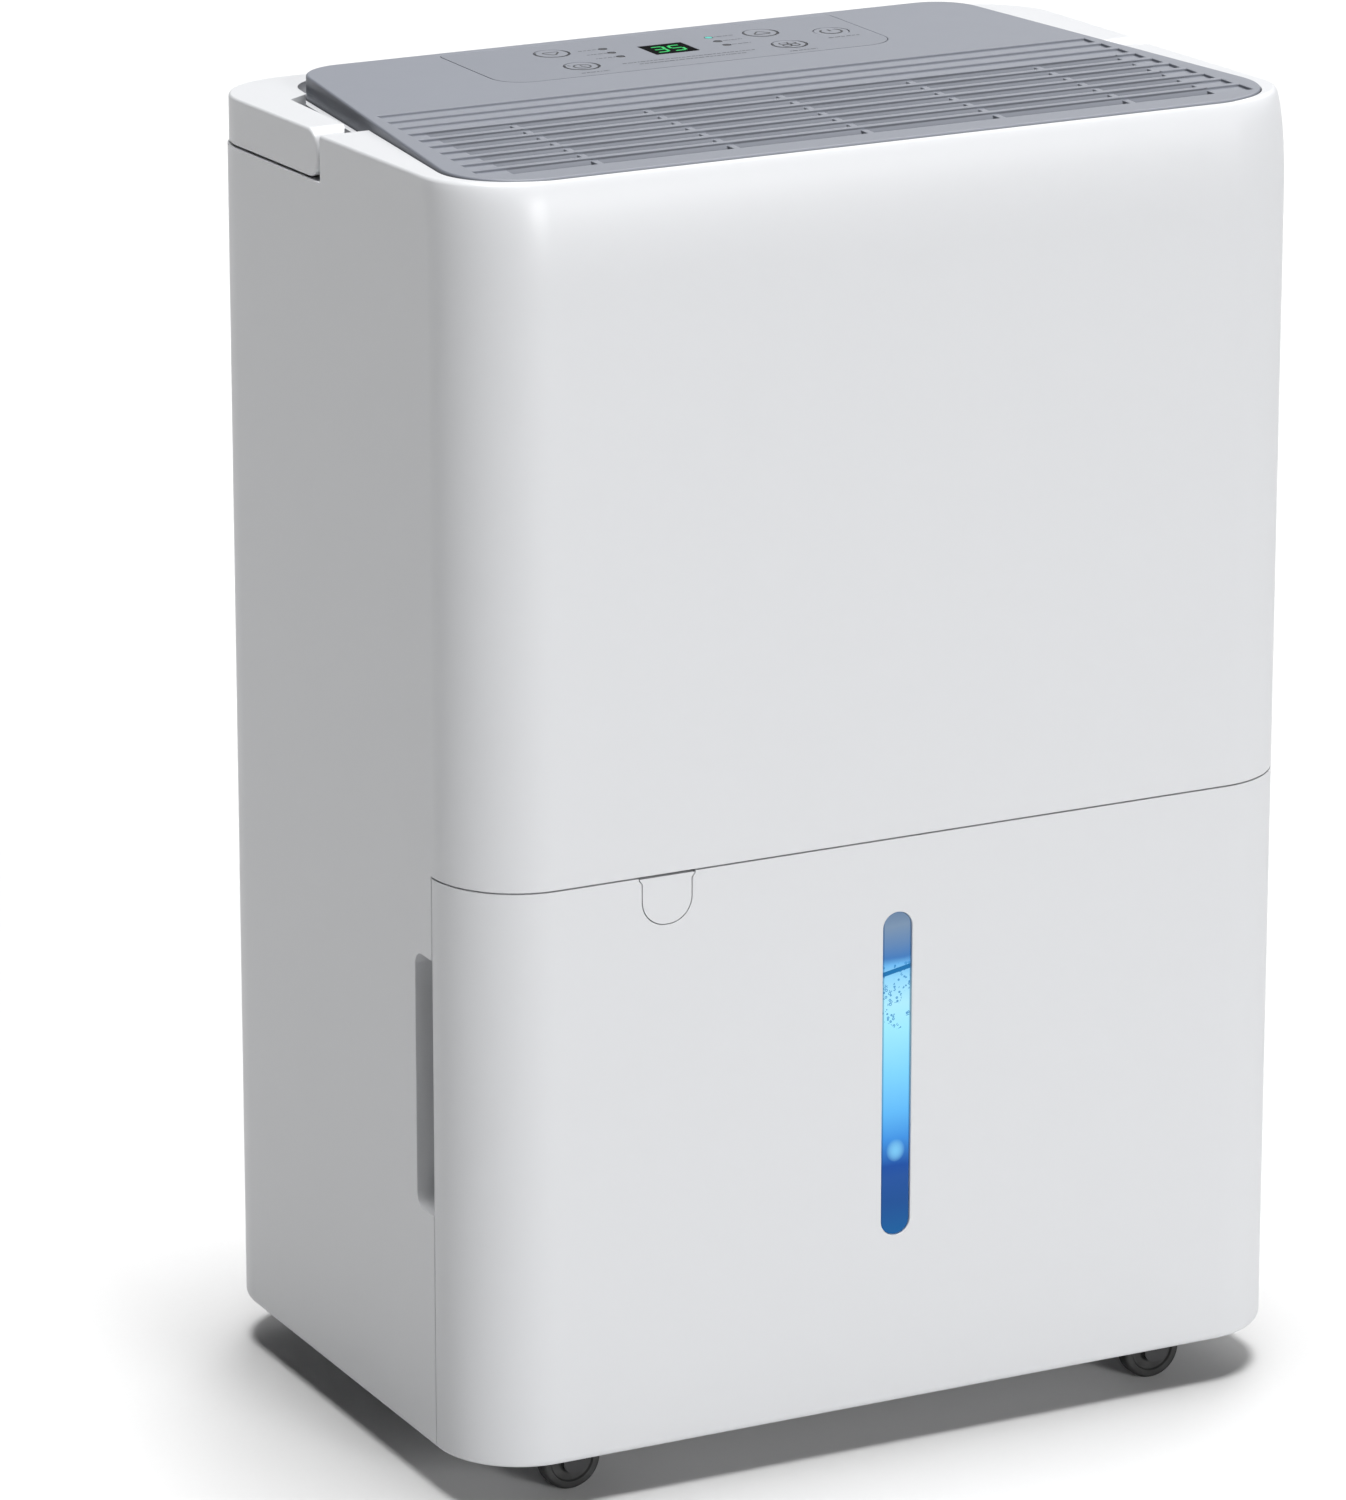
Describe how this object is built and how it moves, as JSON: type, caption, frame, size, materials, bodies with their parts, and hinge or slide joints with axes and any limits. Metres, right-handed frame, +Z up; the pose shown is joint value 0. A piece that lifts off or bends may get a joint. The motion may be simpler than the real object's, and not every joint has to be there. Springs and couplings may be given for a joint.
{
  "type": "portable dehumidifier",
  "caption": "Upright white dehumidifier on casters, with a louvred top and control panel, fold-up carry handle, rear filter grille and pull-out water bucket with a level window.",
  "frame": {"origin": "on the floor, below the middle of the cabinet's plan", "axes": "+Z up, -Y towards the front with the bucket, +X to the right seen from the front"},
  "size_m": [0.386, 0.261, 0.5577],
  "materials": {
    "white_plastic": "smooth, slightly glossy white",
    "grey_plastic": "satin blue-grey",
    "dark_plastic": "satin black",
    "clear_plastic": "clear",
    "bucket_plastic": "translucent off-white",
    "filter_fabric": "fine dark mesh",
    "sheet_aluminium": "bare",
    "pipe_copper": "bare copper",
    "black_enamel": "semi-gloss black",
    "zinc_steel": "zinc plated",
    "soft_rubber": "matt black",
    "board_green": "green solder mask"
  },
  "bodies": {
    "cabinet": {"main_casing": "white_plastic", "base_pan": "white_plastic", "rear_cover": "white_plastic", "drain_outlet": "white_plastic", "bay_divider": "white_plastic", "drip_tray": "white_plastic", "top_panel": "grey_plastic", "control_overlay": "grey_plastic", "fan_housing": "grey_plastic", "display_window": "dark_plastic", "display_module": "dark_plastic", "cord_inlet": "dark_plastic", "terminal_cap": "dark_plastic", "humidity_sensor": "dark_plastic", "float_sensor": "dark_plastic", "light_pipe_left": "clear_plastic", "light_pipe_right": "clear_plastic", "evaporator": "sheet_aluminium", "condenser": "sheet_aluminium", "run_capacitor": "sheet_aluminium", "discharge_pipe": "pipe_copper", "suction_pipe": "pipe_copper", "capillary_pipe": "pipe_copper", "compressor": "black_enamel", "fan_motor": "black_enamel", "rear_screw_low_left": "zinc_steel", "rear_screw_low_right": "zinc_steel", "rear_screw_high_left": "zinc_steel", "rear_screw_high_right": "zinc_steel", "handle_pin_left": "zinc_steel", "handle_pin_right": "zinc_steel", "compressor_grommet_1": "soft_rubber", "compressor_grommet_2": "soft_rubber", "compressor_grommet_3": "soft_rubber", "control_board": "board_green"},
    "fan": {"fan_wheel": "dark_plastic"},
    "water_bucket": {"bucket_front": "white_plastic", "bucket": "bucket_plastic", "water_window": "clear_plastic", "bucket_lid": "bucket_plastic", "float_bracket": "bucket_plastic"},
    "hose_tab_piece": {"hose_tab": "white_plastic"},
    "float": {"float_arm": "dark_plastic"},
    "handle": {"carry_handle": "white_plastic"},
    "grille": {"intake_grille": "white_plastic", "air_filter": "filter_fabric"},
    "cap": {"drain_cap": "grey_plastic"},
    "down_button_piece": {"down_button": "grey_plastic"},
    "timer_button_piece": {"timer_button": "grey_plastic"},
    "up_button_piece": {"up_button": "grey_plastic"},
    "mode_button_piece": {"mode_button": "grey_plastic"},
    "power_button_piece": {"power_button": "grey_plastic"},
    "fork_front_left": {"caster_fork_front_left": "dark_plastic"},
    "wheel_front_left": {"caster_wheel_front_left": "soft_rubber"},
    "fork_front_right": {"caster_fork_front_right": "dark_plastic"},
    "wheel_front_right": {"caster_wheel_front_right": "soft_rubber"},
    "fork_rear_left": {"caster_fork_rear_left": "dark_plastic"},
    "wheel_rear_left": {"caster_wheel_rear_left": "soft_rubber"},
    "fork_rear_right": {"caster_fork_rear_right": "dark_plastic"},
    "wheel_rear_right": {"caster_wheel_rear_right": "soft_rubber"}
  },
  "joints": [
    {"name": "bucket_slide", "type": "slide", "parent": "cabinet", "child": "water_bucket", "axis": [0, -1, 0], "range_m": [0, 0.15]},
    {"name": "hose_tab_slide", "type": "slide", "parent": "water_bucket", "child": "hose_tab_piece", "axis": [0, -1, 0], "range_m": [0, 0.012]},
    {"name": "float_hinge", "type": "hinge", "parent": "water_bucket", "child": "float", "pos_m": [-0.11, -0.02, 0.238], "axis": [-1, 0, 0], "range_deg": [0, 10]},
    {"name": "handle_hinge", "type": "hinge", "parent": "cabinet", "child": "handle", "pos_m": [0, 0.022, 0.54285], "axis": [1, 0, 0], "range_deg": [0, 90]},
    {"name": "grille_slide", "type": "slide", "parent": "cabinet", "child": "grille", "axis": [0, 1, 0], "range_m": [0, 0.04]},
    {"name": "drain_cap_slide", "type": "slide", "parent": "cabinet", "child": "cap", "axis": [0, 1, 0], "range_m": [0, 0.015]},
    {"name": "fan_spin", "type": "hinge", "parent": "cabinet", "child": "fan", "pos_m": [0, -0.108, 0.402], "axis": [0, 1, 0], "continuous": true},
    {"name": "down_button_press", "type": "slide", "parent": "cabinet", "child": "down_button_piece", "axis": [0, 0, -1], "range_m": [0, 0.0008], "stiffness_N_per_m": 400, "springref_m": -0.0002},
    {"name": "timer_button_press", "type": "slide", "parent": "cabinet", "child": "timer_button_piece", "axis": [0, 0, -1], "range_m": [0, 0.0008], "stiffness_N_per_m": 400, "springref_m": -0.0002},
    {"name": "up_button_press", "type": "slide", "parent": "cabinet", "child": "up_button_piece", "axis": [0, 0, -1], "range_m": [0, 0.0008], "stiffness_N_per_m": 400, "springref_m": -0.0002},
    {"name": "mode_button_press", "type": "slide", "parent": "cabinet", "child": "mode_button_piece", "axis": [0, 0, -1], "range_m": [0, 0.0008], "stiffness_N_per_m": 400, "springref_m": -0.0002},
    {"name": "power_button_press", "type": "slide", "parent": "cabinet", "child": "power_button_piece", "axis": [0, 0, -1], "range_m": [0, 0.0008], "stiffness_N_per_m": 400, "springref_m": -0.0002},
    {"name": "swivel_front_left", "type": "hinge", "parent": "cabinet", "child": "fork_front_left", "pos_m": [-0.138, -0.1096, 0], "axis": [0, 0, 1], "continuous": true},
    {"name": "roll_front_left", "type": "hinge", "parent": "fork_front_left", "child": "wheel_front_left", "pos_m": [-0.1415, -0.1096, 0.0132], "axis": [0, 1, 0], "continuous": true},
    {"name": "swivel_front_right", "type": "hinge", "parent": "cabinet", "child": "fork_front_right", "pos_m": [0.138, -0.1096, 0], "axis": [0, 0, 1], "continuous": true},
    {"name": "roll_front_right", "type": "hinge", "parent": "fork_front_right", "child": "wheel_front_right", "pos_m": [0.1345, -0.1096, 0.0132], "axis": [0, 1, 0], "continuous": true},
    {"name": "swivel_rear_left", "type": "hinge", "parent": "cabinet", "child": "fork_rear_left", "pos_m": [-0.138, 0.1096, 0], "axis": [0, 0, 1], "continuous": true},
    {"name": "roll_rear_left", "type": "hinge", "parent": "fork_rear_left", "child": "wheel_rear_left", "pos_m": [-0.1415, 0.1096, 0.0132], "axis": [0, 1, 0], "continuous": true},
    {"name": "swivel_rear_right", "type": "hinge", "parent": "cabinet", "child": "fork_rear_right", "pos_m": [0.138, 0.1096, 0], "axis": [0, 0, 1], "continuous": true},
    {"name": "roll_rear_right", "type": "hinge", "parent": "fork_rear_right", "child": "wheel_rear_right", "pos_m": [0.1345, 0.1096, 0.0132], "axis": [0, 1, 0], "continuous": true}
  ]
}
